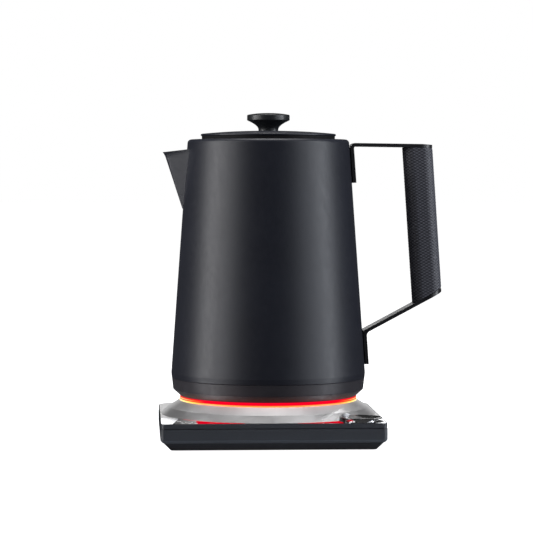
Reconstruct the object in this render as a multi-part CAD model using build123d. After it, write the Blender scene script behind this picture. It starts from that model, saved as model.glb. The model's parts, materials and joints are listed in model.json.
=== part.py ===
from build123d import *
from math import atan, cos, degrees, radians, sin, sqrt
import os

# Electric kettle on a square heating base, in millimetres.
# Z is up, the kettle's axis is X = Y = 0, the spout points to -X, the handle to +X
# and the control panel faces -Y. Z = 0 is the table under the rubber foot.

os.makedirs("parts", exist_ok=True)

# ---- base -------------------------------------------------------------------
FOOT_H = 0.8
FOOT_R_IN, FOOT_R_OUT = 50.0, 58.0
TUB_TOP = 6.2
TUB_LOW_HALF = 70.0
TUB_TOP_HALF = 75.0
TUB_FLOOR = 2.2
WALL = 2.2
HOUSING_Z0 = 6.3
BEVEL_TOP = 8.0
HOUSING_Z1 = 15.7
BASE_HALF = 77.0
FRAME_Z0 = 16.25
FRAME_HALF = 76.8
RIM_INNER = 76.35
SHEET_Z0 = 18.4
DECK_Z = 19.4
DECK_HALF = 76.3
FRONT_R = 3.0
BACK_R = 18.0
PANEL_Y = -39.0
GAP = 0.1

# ---- conical plinth and its light -------------------------------------------
FLANGE_R = 75.9
CREASE_R, CREASE_Z = 70.6, 24.1
PLINTH_TOP_R, PLINTH_TOP_Z = 62.9, 28.9
LINE_TOP_Z = 29.85
KETTLE_Z = 32.0
DISH_R = 57.8
DISH_FLOOR_Z = 29.2
TOWER_R, TOWER_TOP = 17.5, 40.0

# ---- dial -------------------------------------------------------------------
DIAL_X, DIAL_Y = 60.4, -62.0
DIAL_R, DIAL_SKIRT_R = 14.2, 11.4
DIAL_TOP = 22.2
WELL_R = 15.1
STEM_R = 3.0
RUNNING = 0.06

# ---- kettle body ------------------------------------------------------------
BAND_FOOT_R = 62.5
BAND_SHOULDER_R, BAND_SHOULDER_Z = 67.1, 37.0
SEAM_Z, SEAM_R = 44.7, 68.2
WIDE_Z, WIDE_R = 48.2, 68.5
CONE_TOP_Z, CONE_TOP_R = 209.7, 56.98
RIM_Z, RIM_CORNER = 212.2, 2.5
SHEET = 1.0
NECK_R = 45.8
TAPER = (WIDE_R - CONE_TOP_R) / (CONE_TOP_Z - WIDE_Z)
CONE_ANGLE = degrees(atan(TAPER))

# ---- lid --------------------------------------------------------------------
LID_R, LID_UNDER_Z, LID_EDGE_Z, LID_TOP_Z = 47.6, 214.6, 215.9, 218.3
KNOB_R, KNOB_NECK_R, KNOB_TOP_Z = 15.0, 7.0, 230.9

# ---- spout ------------------------------------------------------------------
SPOUT_TIP_X, SPOUT_TIP_Z = -74.5, 203.3
SPOUT_LOW_Z = 162.6
SPOUT_NOSE_R, SPOUT_HALF_ANGLE = 4.5, 30.5
SPOUT_RIM_RISE = 0.115
SPOUT_SHEET = 1.6

# ---- handle -----------------------------------------------------------------
STRAP_T, STRAP_W = 2.4, 18.0
STRAP_OFF = 0.2
UPPER_TAB_Z, UPPER_BEND_Z, UPPER_END = 181.8, 208.6, (116.2, 207.4)
LOWER_TAB_Z, LOWER_BEND_Z, LOWER_END = 53.9, 76.8, (123.0, 106.2)
GRIP_W, GRIP_D, GRIP_R = 21.3, 18.0, 7.6
GRIP_X, GRIP_Z, GRIP_LEAN = 106.1, 197.9, 0.0677
GRIP_SCREW_L = 6.5


def cone_r(z):
    return CONE_TOP_R + (CONE_TOP_Z - z) * TAPER


def cylinder(r, z0, z1, x=0.0, y=0.0):
    return Pos(x, y, (z0 + z1) / 2) * Cylinder(r, z1 - z0)


def ring(r_in, r_out, z0, z1, x=0.0, y=0.0):
    return cylinder(r_out, z0, z1, x, y) - cylinder(r_in, z0 - 1, z1 + 1, x, y)


def block(x0, x1, y0, y1, z0, z1):
    centre = Pos((x0 + x1) / 2, (y0 + y1) / 2, (z0 + z1) / 2)
    return centre * Box(x1 - x0, y1 - y0, z1 - z0)


def turned(points):
    """Solid of revolution about Z from a closed outline of (radius, z) points."""
    outline = make_face(Polyline(*[(r, 0, z) for r, z in points], close=True))
    return revolve(outline, Axis.Z)


def turned_edges(*edges):
    """The same from arcs and lines that already close."""
    return revolve(make_face(Curve() + list(edges)), Axis.Z)


def plate_outline(half, front_r, back_r):
    """Square seen from above with small front and large back corners."""
    square = Rectangle(2 * half, 2 * half)
    front = [v for v in square.vertices() if v.Y < 0]
    square = fillet(front, front_r)
    back = [v for v in square.vertices() if v.Y > half - 0.01]
    return fillet(back, back_r)


def slab(half, front_r, back_r, z0, z1):
    return Pos(0, 0, z0) * extrude(plate_outline(half, front_r, back_r), z1 - z0)


def tapered_slab(low_half, top_half, z0, z1):
    """Square tub whose walls lean outward from the bottom outline to the top one."""
    low_r = BASE_HALF - low_half
    top_r = BASE_HALF - top_half
    low = Pos(0, 0, z0) * plate_outline(low_half, 1.5, BACK_R - low_r)
    top = Pos(0, 0, z1) * plate_outline(top_half, FRONT_R - 0.5, BACK_R - top_r)
    return loft([low, top])


def side_prism(points, half_width):
    """Outline of (x, z) points in the plane of the handle, spread over +-half_width in Y."""
    face = make_face(Polyline(*[(x, 0, z) for x, z in points], close=True))
    return extrude(face, half_width, both=True)


def save(node, shape):
    export_step(shape, "parts/" + node + ".step")


def group(*solids):
    return Compound(children=list(solids))


# ---- base: lower housing ----------------------------------------------------
GLAND_Z = 11.2
REAR_POSTS = [(-62, 62), (62, 62)]
FRONT_POSTS = [(-63.5, -36), (63.5, -36)]
POSTS = REAR_POSTS + FRONT_POSTS


def base_tub():
    tub = tapered_slab(TUB_LOW_HALF, TUB_TOP_HALF, FOOT_H, TUB_TOP)
    inside = tapered_slab(TUB_LOW_HALF - WALL, TUB_TOP_HALF - WALL, FOOT_H + TUB_FLOOR, TUB_TOP + 0.01)
    tub -= inside
    for x, y in POSTS:
        tub -= cylinder(1.5, 0, 4, x, y)
        tub -= cylinder(3.1, 0, FOOT_H + 1.3, x, y)
    tub -= ring(FOOT_R_IN - GAP, FOOT_R_OUT + GAP, 0, FOOT_H + 0.8)
    for x in (-34, 34):
        for y in (18, 42):
            tub += ring(1.2, 2.6, FOOT_H + TUB_FLOOR - 0.1, 6.4, x, y)
    for k in range(9):
        tub -= block(-28 + 7 * k - 1, -28 + 7 * k + 1, -20, -4, 0, 4)
    return tub


def base_housing():
    shell = slab(BASE_HALF, FRONT_R, BACK_R, BEVEL_TOP, HOUSING_Z1)
    shell += tapered_slab(BASE_HALF - 1.6, BASE_HALF, HOUSING_Z0, BEVEL_TOP)
    shell -= slab(BASE_HALF - 2.4, 1.0, BACK_R - 2.4, HOUSING_Z0 + 2.6, 20)
    shell -= slab(BASE_HALF - 4.0, 1.0, BACK_R - 4.0, 0, 20)
    for x, y in POSTS:
        side = 1 if x > 0 else -1
        post = cylinder(3.4, FOOT_H + TUB_FLOOR, HOUSING_Z1, x, y)
        web = block(*sorted((x, side * (BASE_HALF - 1))), y - 0.8, y + 0.8, HOUSING_Z0 + 2.6, HOUSING_Z1)
        shell = shell + post + web
        shell -= cylinder(1.3, 0, 13, x, y)
    shell -= Pos(0, BASE_HALF, GLAND_Z) * Rot(90, 0, 0) * Cylinder(4.25, 20)
    return shell


def top_frame():
    frame = slab(FRAME_HALF, FRONT_R, BACK_R, FRAME_Z0, DECK_Z - 0.1)
    frame += slab(FRAME_HALF - 1.0, FRONT_R - 1.0, BACK_R - 1.0, HOUSING_Z1, FRAME_Z0)
    frame -= slab(RIM_INNER, FRONT_R - 0.4, BACK_R - 0.4, SHEET_Z0, 22)
    hollow = slab(FRAME_HALF - 3.4, 1.0, BACK_R - 3.4, 10, 22)
    shelf = block(-90, 90, -90, PANEL_Y + 3, 17.0, SHEET_Z0 - 0.1)
    frame -= hollow - shelf
    frame -= cylinder(69.5, 10, 22)
    frame -= cylinder(12.6, 10, 22, DIAL_X, DIAL_Y)
    return frame


def foot_ring():
    """Non-slip ring let into the underside; it is all that touches the table."""
    return ring(FOOT_R_IN, FOOT_R_OUT, 0, FOOT_H + 0.8)


def base_screws():
    screws = []
    for x, y in POSTS:
        head = cylinder(2.9, FOOT_H + 0.3, FOOT_H + 1.3, x, y)
        screw = head + cylinder(1.2, FOOT_H + 1.3, 12, x, y)
        screw -= block(x - 2, x + 2, y - 0.3, y + 0.3, 0, FOOT_H + 0.8)
        screw -= block(x - 0.3, x + 0.3, y - 2, y + 2, 0, FOOT_H + 0.8)
        screws.append(screw)
    return group(*screws)


def cord_gland():
    turn = Pos(0, BASE_HALF, GLAND_Z) * Rot(-90, 0, 0)
    gland = turn * cylinder(4.2, -6, 0.1)
    gland += turn * cylinder(5.2, 0.1, 1.6)
    gland += turn * cylinder(4.8, -6, -4.2)
    return gland - turn * cylinder(3.2, -10, 10)


# ---- base: top plates -------------------------------------------------------
def plinth_solid(drop=0.0):
    """Full solid under the plinth's outer surface."""
    return turned([(0, 10), (FLANGE_R - drop, 10), (FLANGE_R - drop, DECK_Z + 0.1),
                   (CREASE_R - drop, CREASE_Z), (PLINTH_TOP_R - drop, PLINTH_TOP_Z), (0, PLINTH_TOP_Z)])


def deck_plate():
    plate = slab(DECK_HALF, FRONT_R, BACK_R - 0.5, SHEET_Z0, DECK_Z)
    plate -= block(-90, 90, -90, PANEL_Y + GAP, 0, 40)
    plate -= cylinder(74.5, 0, 40)
    plinth = turned([
        (FLANGE_R, SHEET_Z0), (FLANGE_R, DECK_Z + 0.1), (CREASE_R, CREASE_Z),
        (PLINTH_TOP_R, PLINTH_TOP_Z), (61.6, PLINTH_TOP_Z), (61.6, PLINTH_TOP_Z - 1.0),
        (62.6, PLINTH_TOP_Z - 1.0), (CREASE_R - 0.7, CREASE_Z - 0.8), (74.0, DECK_Z + 0.2), (74.0, SHEET_Z0)])
    return plate + plinth - cylinder(WELL_R + GAP, 0, 40, DIAL_X, DIAL_Y)


def panel_zone(margin):
    """Front strip of the deck that the flange leaves free."""
    zone = slab(DECK_HALF - margin, FRONT_R, BACK_R, SHEET_Z0, DECK_Z)
    zone -= block(-90, 90, PANEL_Y - margin, 90, 0, 40)
    zone -= cylinder(FLANGE_R + 0.2 + margin, 0, 40)
    return zone - cylinder(WELL_R + GAP + margin, 0, 40, DIAL_X, DIAL_Y)


def glass_prism(margin):
    """Prism over the dark glass, with a slightly swept edge at each end."""
    back = PANEL_Y + 4
    half = [(0, -90), (69.6, -90), (68.6, -74.0), (67.2, -64.0), (65.4, -52.0), (63.9, back), (0, back)]
    right = [(x - margin if x else 0, y) for x, y in half]
    left = [(-x, y) for x, y in reversed(right)]
    return extrude(make_face(Polyline(*[(x, y, 0) for x, y in right + left[1:-1]], close=True)), 40)


def window_prism(margin):
    """Prisms over the lit windows beside the flange."""
    right = block(16.0 + margin, 47.0 - margin, -75.6 + margin, -50, 0, 40)
    left = block(-52.5 + margin, -20.0 - margin, -75.6 + margin, -50, 0, 40)
    thin = block(-61.0 + margin, -52.5 + margin, -75.0, -40, 0, 40) & cylinder(FLANGE_R + 1.4 - margin, 0, 40)
    return right, left + thin


def front_trim():
    return panel_zone(0) - glass_prism(0)


def control_glass():
    right, left = window_prism(0)
    return (panel_zone(GAP) & glass_prism(GAP)) - right - left


def glow_windows():
    right, left = window_prism(GAP)
    zone = panel_zone(GAP)
    return group(*((zone & right).solids() + (zone & left).solids()))


def panel_icons():
    """Flush touch marks: a row of dots and two rows of dashes on the glass."""
    z0, z1 = DECK_Z, DECK_Z + 0.06
    marks = [cylinder(0.45, z0, z1, -62.0 + 2.2 * k, -64.0) for k in range(4)]
    marks += [block(-63.5 + 3.4 * k, -61.7 + 3.4 * k, -68.4, -67.8, z0, z1) for k in range(3)]
    marks += [block(-62.6 + 4.4 * k, -60.6 + 4.4 * k, -72.6, -71.8, z0, z1) for k in range(3)]
    marks += [ring(1.0, 1.4, z0, z1, -64.0, -59.0)]
    return group(*marks)


def dial_well():
    """Recess the dial sinks into, with a low wall where it bites into the plinth."""
    well = turned([(3.6, 17.4), (12.4, 17.4), (12.4, SHEET_Z0), (WELL_R, SHEET_Z0), (WELL_R, DECK_Z - 0.1),
                   (12.0, DECK_Z - 0.1), (12.0, SHEET_Z0), (3.6, SHEET_Z0)])
    well = Pos(DIAL_X, DIAL_Y, 0) * well
    wall = ring(WELL_R - 0.4, WELL_R, DECK_Z - 0.1, 30, DIAL_X, DIAL_Y) & plinth_solid(0.2)
    return (well + wall) & slab(DECK_HALF - GAP, FRONT_R, BACK_R, 10, 40)


# ---- base: light ring -------------------------------------------------------
def light_ring():
    return turned([(58.0, 26.2), (61.5, 26.2), (61.5, LINE_TOP_Z + 0.05), (62.45, LINE_TOP_Z + 0.05),
                   (62.3, KETTLE_Z - 0.05), (58.0, KETTLE_Z - 0.05)])


def light_line():
    return turned([(61.6, PLINTH_TOP_Z + 0.05), (62.6, PLINTH_TOP_Z + 0.05), (62.6, LINE_TOP_Z), (61.6, LINE_TOP_Z)])


def light_board():
    return ring(58.1, 64.4, 24.2, 25.4)


def ring_leds():
    count = 36
    leds = []
    for k in range(count):
        leds.append(Rot(0, 0, 360 * k / count) * block(58.7, 60.9, -1.2, 1.2, 25.4, 26.1))
    return group(*leds)


# ---- base: connector --------------------------------------------------------
def connector_dish():
    dish = turned([(TOWER_R + 0.4, 27.6), (56.2, 27.6), (56.2, SHEET_Z0), (DISH_R, SHEET_Z0), (DISH_R, 31.4),
                   (56.4, 31.4), (54.0, DISH_FLOOR_Z), (24.8, DISH_FLOOR_Z), (24.8, 28.5), (20.2, 28.5),
                   (20.2, DISH_FLOOR_Z), (TOWER_R + 0.4, DISH_FLOOR_Z)])
    for angle in (0, 90, 180, 225, 315):
        x, y = 50 * cos(radians(angle)), 50 * sin(radians(angle))
        dish += cylinder(2.5, FOOT_H + TUB_FLOOR, 28, x, y)
    return dish


def base_connector():
    tower = cylinder(TOWER_R, 22, TOWER_TOP) + cylinder(22, 25.4, 27.5)
    tower = chamfer(tower.edges().group_by(Axis.Z)[-1], 1.0)
    tower -= cylinder(3.2, 24, 50)
    tower -= ring(7.5, 9.5, 28, 50)
    return tower - ring(12.3, 14.3, 28, 50)


def connector_contacts():
    return group(cylinder(3.1, 24.0, 26.0), ring(7.6, 9.4, 28.0, 30.0), ring(12.4, 14.2, 28.0, 30.0))


def swivel_ring():
    return ring(20.5, 24.5, 28.6, 30.2)


# ---- base: electronics ------------------------------------------------------
def power_board():
    return block(-40, 40, 16, 44, 6.4, 8.0)


def power_parts():
    relay = block(-30, -12, 20, 34, 8.0, 22.0)
    coil = block(-4, 12, 19, 35, 8.0, 20.0)
    tanks = [cylinder(4.0, 8.0, 20.0, x, 27) for x in (20, 31)]
    fuse = Pos(0, 40, 10.4) * Rot(0, 90, 0) * Cylinder(2.4, 20)
    return group(relay, coil, *tanks, fuse)


def control_board():
    return block(-56, 71, -72, -43, 9.0, 10.6)


def encoder():
    case = block(DIAL_X - 6.5, DIAL_X + 6.5, DIAL_Y - 6.5, DIAL_Y + 6.5, 10.6, 15.6)
    case += cylinder(4.5, 15.6, 17.2, DIAL_X, DIAL_Y)
    return case - cylinder(STEM_R + RUNNING, 12.0, 20, DIAL_X, DIAL_Y)


def dial_stem():
    stem = cylinder(STEM_R, 13.2, DIAL_TOP - 0.7, DIAL_X, DIAL_Y)
    return chamfer(stem.edges().group_by(Axis.Z)[-1], 0.4)


def dial():
    body = turned([(0, DECK_Z), (DIAL_SKIRT_R, DECK_Z), (DIAL_SKIRT_R, DIAL_TOP - 0.7), (DIAL_R - 0.3, DIAL_TOP - 0.7),
                   (DIAL_R, DIAL_TOP - 0.45), (DIAL_R, DIAL_TOP - 0.2), (DIAL_R - 0.3, DIAL_TOP),
                   (DIAL_R - 0.8, DIAL_TOP), (DIAL_R - 0.8, DIAL_TOP - 0.3), (0, DIAL_TOP - 0.3)])
    body = Pos(DIAL_X, DIAL_Y, 0) * body
    return body - cylinder(STEM_R + RUNNING, 0, DIAL_TOP - 0.6, DIAL_X, DIAL_Y)


def dial_cap():
    cap = turned_edges(
        Line((0, 0, DIAL_TOP - 0.3), (DIAL_R - 0.85, 0, DIAL_TOP - 0.3)),
        Line((DIAL_R - 0.85, 0, DIAL_TOP - 0.3), (DIAL_R - 0.85, 0, DIAL_TOP)),
        ThreePointArc((DIAL_R - 0.85, 0, DIAL_TOP), (8.0, 0, DIAL_TOP + 0.2), (2.0, 0, DIAL_TOP + 0.3)),
        Line((2.0, 0, DIAL_TOP + 0.3), (0, 0, DIAL_TOP + 0.3)),
        Line((0, 0, DIAL_TOP + 0.3), (0, 0, DIAL_TOP - 0.3)))
    return Pos(DIAL_X, DIAL_Y, 0) * cap


# ---- kettle: body -----------------------------------------------------------
UPPER_RIVET_Z, LOWER_RIVET_Z = 193.5, 64.0
RIVET_Y = 4.6
RIVET_R = 1.6


def cone_solid(grow=0.0):
    """Solid under the outer face of the tapered wall."""
    return turned([(0, 20), (cone_r(20) + grow, 20), (cone_r(230) + grow, 230), (0, 230)])


def rivet_places():
    for z in (UPPER_RIVET_Z, LOWER_RIVET_Z):
        for y in (-RIVET_Y, RIVET_Y):
            radius = sqrt(cone_r(z) ** 2 - y ** 2)
            yield Pos(radius, y, z) * Rot(0, 90 - CONE_ANGLE, 0)


def rivet_holes():
    return [place * cylinder(RIVET_R + 0.05, -4, 8) for place in rivet_places()]


def mouth_cut():
    """V opening in the wall behind the spout."""
    outline = [(0, 171), (-10.5, 203), (10.5, 203)]
    face = make_face(Polyline(*[(-40, y, z) for y, z in outline], close=True))
    return extrude(face, 30, dir=(-1, 0, 0))


def body_shell():
    shell = turned_edges(
        Line((SEAM_R - SHEET, 0, SEAM_Z), (SEAM_R, 0, SEAM_Z)),
        Line((SEAM_R, 0, SEAM_Z), (WIDE_R, 0, WIDE_Z)),
        Line((WIDE_R, 0, WIDE_Z), (CONE_TOP_R, 0, CONE_TOP_Z)),
        ThreePointArc((CONE_TOP_R, 0, CONE_TOP_Z), (CONE_TOP_R - 0.8, 0, RIM_Z - 0.75),
                      (CONE_TOP_R - RIM_CORNER, 0, RIM_Z)),
        Line((CONE_TOP_R - RIM_CORNER, 0, RIM_Z), (NECK_R + 1.2, 0, RIM_Z)),
        ThreePointArc((NECK_R + 1.2, 0, RIM_Z), (NECK_R + 0.35, 0, RIM_Z - 0.35), (NECK_R, 0, RIM_Z - 1.2)),
        Line((NECK_R, 0, RIM_Z - 1.2), (NECK_R, 0, 205.0)),
        Line((NECK_R, 0, 205.0), (NECK_R + SHEET, 0, 205.0)),
        Line((NECK_R + SHEET, 0, 205.0), (NECK_R + SHEET, 0, RIM_Z - 1.4)),
        Line((NECK_R + SHEET, 0, RIM_Z - 1.4), (NECK_R + 1.4, 0, RIM_Z - SHEET)),
        Line((NECK_R + 1.4, 0, RIM_Z - SHEET), (CONE_TOP_R - RIM_CORNER, 0, RIM_Z - SHEET)),
        Line((CONE_TOP_R - RIM_CORNER, 0, RIM_Z - SHEET), (CONE_TOP_R - SHEET, 0, CONE_TOP_Z - 0.2)),
        Line((CONE_TOP_R - SHEET, 0, CONE_TOP_Z - 0.2), (WIDE_R - SHEET, 0, WIDE_Z)),
        Line((WIDE_R - SHEET, 0, WIDE_Z), (SEAM_R - SHEET, 0, SEAM_Z)))
    shell -= mouth_cut()
    for hole in rivet_holes():
        shell -= hole
    return shell


def lower_band():
    return turned([(57.0, KETTLE_Z), (BAND_FOOT_R - 0.4, KETTLE_Z), (BAND_FOOT_R, KETTLE_Z + 0.3),
                   (BAND_SHOULDER_R, BAND_SHOULDER_Z - 0.4), (BAND_SHOULDER_R + 0.15, BAND_SHOULDER_Z + 0.2),
                   (SEAM_R - 0.15, SEAM_Z - 0.6), (SEAM_R - 0.5, SEAM_Z - 0.2), (66.0, SEAM_Z - 0.2),
                   (65.0, 37.8), (61.0, 34.0), (57.0, 34.0)])


def vessel_floor():
    floor = turned([(0, 49.0), (66.0, 49.0), (66.0, SEAM_Z), (67.1, SEAM_Z), (67.1, 50.0), (66.4, 50.6), (0, 50.6)])
    return floor - cylinder(2.6, 40, 60, 20, 12)


def heat_plate():
    return cylinder(56, 47.2, 48.9) - cylinder(2.8, 40, 60, 20, 12)


def heating_element():
    tube = Pos(44, 0, 43.1) * Rot(90, 0, 0) * Circle(4.0)
    coil = revolve(tube, Axis.Z, 320)
    pins = []
    for angle in (2, 318):
        x, y = 44 * cos(radians(angle)), 44 * sin(radians(angle))
        pins.append(cylinder(1.6, 36.2, 43.1, x, y))
    return coil + pins[0] + pins[1]


def temperature_probe():
    probe = cylinder(2.5, 46.0, 62.0, 20, 12)
    probe = fillet(probe.edges().group_by(Axis.Z)[-1], 1.5)
    return probe + cylinder(4.2, 50.6, 51.6, 20, 12)


def contact_blades():
    pin = cylinder(2.6, 31.5, 43.0)
    return [pin, ring(8.0, 9.0, 31.5, 43.0), ring(12.8, 13.8, 31.5, 43.0)]


def coupler():
    body = turned([(0, TOWER_TOP + 0.8), (18.2, TOWER_TOP + 0.8), (18.2, 30.4), (26.8, 30.4), (26.8, 46.0), (0, 46.0)])
    for blade in contact_blades():
        body -= blade
    return body


def under_cover():
    return turned([(27.2, 32.6), (56.8, 32.6), (56.8, 34.1), (60.6, 34.1), (60.6, 35.4), (27.2, 35.4)])


# ---- kettle: spout ----------------------------------------------------------
def spout_section(share):
    """Rounded V, open towards the body, scaled about the spout's lowest point."""
    apex_x = -cone_r(SPOUT_LOW_Z)
    nose_x = SPOUT_TIP_X + SPOUT_NOSE_R
    lean_x, lean_y = cos(radians(SPOUT_HALF_ANGLE)), sin(radians(SPOUT_HALF_ANGLE))
    touch = (nose_x - SPOUT_NOSE_R * lean_y, SPOUT_NOSE_R * lean_x)
    back = (touch[0] + 26 * lean_x, touch[1] + 26 * lean_y)
    z = SPOUT_LOW_Z + share * (SPOUT_TIP_Z - SPOUT_LOW_Z)

    def place(x, y):
        return (apex_x + share * (x - apex_x), share * y, z)

    outline = [
        ThreePointArc(place(touch[0], -touch[1]), place(SPOUT_TIP_X, 0), place(*touch)),
        Line(place(*touch), place(*back)),
        Line(place(*back), place(back[0], -back[1])),
        Line(place(back[0], -back[1]), place(touch[0], -touch[1]))]
    return make_face(Curve() + outline)


def spout_cone():
    return loft([spout_section(0.03), spout_section(1.2)], ruled=True)


def spout_rim_cut():
    """Everything above the mouth's rim, which rises from the tip to the body."""
    low = SPOUT_TIP_Z
    high = SPOUT_TIP_Z + SPOUT_RIM_RISE * 40
    points = [(SPOUT_TIP_X - 1, low - SPOUT_RIM_RISE), (SPOUT_TIP_X + 39, high), (SPOUT_TIP_X + 39, 230),
              (SPOUT_TIP_X - 12, 230), (SPOUT_TIP_X - 12, low - 1.4)]
    return side_prism(points, 40)


def spout():
    outer = spout_cone()
    hollow = Pos(SPOUT_SHEET, 0, 0) * spout_cone()
    return (outer - hollow) - cone_solid(0.02) - spout_rim_cut()


def spout_filter():
    """Perforated sheet curved to the inside of the wall."""
    low, high = 167.0, 204.0
    gap, sheet = 0.4, 0.6
    outer, inner = SHEET + gap, SHEET + gap + sheet
    skin = turned([(cone_r(low) - inner, low), (cone_r(low) - outer, low),
                   (cone_r(high) - outer, high), (cone_r(high) - inner, high)])
    skin &= block(-80, -30, -13.5, 13.5, low, high)
    for row in range(9):
        z = 172.0 + 3.6 * row
        reach = int((z - 166.0) / 12.5)
        for col in range(-reach, reach + 1):
            skin -= Pos(-55, 3.4 * col, z) * Rot(0, 90, 0) * Cylinder(1.1, 20)
    return skin


# ---- kettle: handle ---------------------------------------------------------
def strap_outline(path, thickness):
    """Closed outline of a bent flat bar around its middle line of (x, z) points."""
    left, right = [], []
    for i, (x, z) in enumerate(path):
        before = path[max(i - 1, 0)]
        after = path[min(i + 1, len(path) - 1)]
        a = Vector(x - before[0], z - before[1])
        b = Vector(after[0] - x, after[1] - z)
        a = a.normalized() if a.length else b.normalized()
        b = b.normalized() if b.length else a
        normal = Vector(-(a.Y + b.Y), a.X + b.X).normalized()
        reach = thickness / 2 / (normal.X * -b.Y + normal.Y * b.X)
        left.append((x + normal.X * reach, z + normal.Y * reach))
        right.append((x - normal.X * reach, z - normal.Y * reach))
    return left + right[::-1]


def tab_x(z):
    return cone_r(z) + STRAP_OFF + STRAP_T / 2


UPPER_PATH = [(tab_x(UPPER_TAB_Z), UPPER_TAB_Z), (tab_x(UPPER_BEND_Z), UPPER_BEND_Z), (108.0, 207.95), UPPER_END]
LOWER_PATH = [(tab_x(LOWER_TAB_Z), LOWER_TAB_Z), (tab_x(LOWER_BEND_Z), LOWER_BEND_Z), LOWER_END]


def bend_fillet(bar, corner, inner_r, outer_r):
    """Round the inside and the outside of the bend at corner."""
    near = [e for e in bar.edges().filter_by(Axis.Y)
            if abs(e.center().X - corner[0]) < 3 and abs(e.center().Z - corner[1]) < 3]
    near.sort(key=lambda e: e.center().X - e.center().Z * (1 if corner[1] > 150 else -1))
    outer, inner = near[0], near[-1]
    if corner[1] < 150:
        outer, inner = inner, outer
    bar = fillet(inner, inner_r)
    again = [e for e in bar.edges().filter_by(Axis.Y) if (e.center() - outer.center()).length < 0.2]
    return fillet(again, outer_r)


def grip_x(z):
    return GRIP_X + (GRIP_Z - z) * GRIP_LEAN


def leaning_bar(width, depth, radius, z0, z1):
    """Upright bar that leans with the grip, with level sections."""
    low = Pos(grip_x(z0), 0, z0) * RectangleRounded(width, depth, radius)
    top = Pos(grip_x(z1), 0, z1) * RectangleRounded(width, depth, radius)
    return loft([low, top])


def between_straps():
    """Prism over the space between the facing sides of the two straps."""
    upper = strap_outline(UPPER_PATH, STRAP_T)
    lower = strap_outline(LOWER_PATH, STRAP_T)
    count = len(UPPER_PATH)
    top_side = upper[count:][::-1]
    bottom_side = lower[:len(LOWER_PATH)]
    far = 12.0
    slope = (bottom_side[-1][1] - bottom_side[-2][1]) / (bottom_side[-1][0] - bottom_side[-2][0])
    points = [top_side[1], top_side[2], top_side[3], (top_side[3][0] + far, top_side[3][1] - 0.9),
              (bottom_side[-1][0] + far, bottom_side[-1][1] + far * slope), bottom_side[-2]]
    return side_prism(points, 20)


def grip_screw_places():
    top = Pos(grip_x(209.1), 0, 209.2)
    low_x = grip_x(98.0)
    t = (low_x - LOWER_PATH[1][0]) / (LOWER_END[0] - LOWER_PATH[1][0])
    low_z = LOWER_PATH[1][1] + t * (LOWER_END[1] - LOWER_PATH[1][1])
    slope = degrees(atan((LOWER_END[1] - LOWER_PATH[1][1]) / (LOWER_END[0] - LOWER_PATH[1][0])))
    low = Pos(low_x, 0, low_z) * Rot(0, 180 - slope, 0) * Pos(0, 0, STRAP_T / 2)
    return [top * Rot(0, 0.6, 0), low]


def countersunk(grow):
    head = Pos(0, 0, -0.9 - 0.05) * Cone(1.7 + grow, 3.5 + grow, 1.8)
    return head + cylinder(1.7 + grow, -GRIP_SCREW_L, -1.8)


def grip_screws():
    screws = []
    for place in grip_screw_places():
        screw = countersunk(0)
        screw -= extrude(Pos(0, 0, -1.2) * RegularPolygon(1.2, 6), 3)
        screws.append(place * screw)
    return group(*screws)


def cut_grip_screws(shape):
    for place in grip_screw_places():
        shape -= place * (countersunk(0.05) + cylinder(3.6, -0.1, 1.0))
    return shape


def upper_strap():
    bar = side_prism(strap_outline(UPPER_PATH, STRAP_T), STRAP_W / 2)
    bar = bend_fillet(bar, UPPER_PATH[1], 1.2, 3.4)
    return finish_strap(bar, UPPER_END[0])


def lower_strap():
    bar = side_prism(strap_outline(LOWER_PATH, STRAP_T), STRAP_W / 2)
    bar = bend_fillet(bar, LOWER_PATH[1], 1.2, 3.4)
    return finish_strap(bar, LOWER_END[0])


def finish_strap(bar, end_x):
    plan = Pos(end_x - STRAP_W / 2, 0, 0) * Circle(STRAP_W / 2)
    plan += Pos(end_x - STRAP_W / 2 - 50, 0, 0) * Rectangle(100, STRAP_W)
    bar &= extrude(plan, 300)
    for hole in rivet_holes():
        bar -= hole
    return cut_grip_screws(bar)


def strap_pad(z0, z1):
    """Thin seat that fills the wedge between the flat strap and the round wall."""
    inner = [(cone_r(z) - 2, z) for z in (z0, z1)]
    outer = [(cone_r(z) + STRAP_OFF - 0.02, z) for z in (z1, z0)]
    pad = side_prism(inner + outer, STRAP_W / 2 - 0.6) - cone_solid(0.0)
    for hole in rivet_holes():
        pad -= hole
    return pad


def strap_rivets():
    """Rivets with their heads inside the vessel, ground flush on the outside."""
    rivet = cylinder(RIVET_R, -1.3, STRAP_OFF + STRAP_T) + cylinder(2.6, -2.1, -1.3)
    return group(*[place * rivet for place in rivet_places()])


def grip():
    sleeve = leaning_bar(GRIP_W, GRIP_D, GRIP_R, 88, 212) - leaning_bar(9.1, 7.1, 1.0, 80, 220)
    return sleeve & between_straps()


def grip_post():
    post = leaning_bar(9.0, 7.0, 1.0, 80, 220) & between_straps()
    return cut_grip_screws(post)


# ---- lid --------------------------------------------------------------------
def lid_cap():
    cap = turned_edges(
        Line((0, 0, LID_UNDER_Z), (LID_R - 0.4, 0, LID_UNDER_Z)),
        Line((LID_R - 0.4, 0, LID_UNDER_Z), (LID_R, 0, LID_UNDER_Z + 0.4)),
        Line((LID_R, 0, LID_UNDER_Z + 0.4), (LID_R, 0, LID_EDGE_Z - 0.3)),
        ThreePointArc((LID_R, 0, LID_EDGE_Z - 0.3), (LID_R - 0.3, 0, LID_EDGE_Z + 0.05),
                      (LID_R - 1.0, 0, LID_EDGE_Z + 0.3)),
        ThreePointArc((LID_R - 1.0, 0, LID_EDGE_Z + 0.3), (26.0, 0, 217.75), (0, 0, LID_TOP_Z)),
        Line((0, 0, LID_TOP_Z), (0, 0, LID_UNDER_Z)))
    cap -= cylinder(42.0, 200, 216.0)
    return cap - cylinder(2.1, 200, 230)


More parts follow.
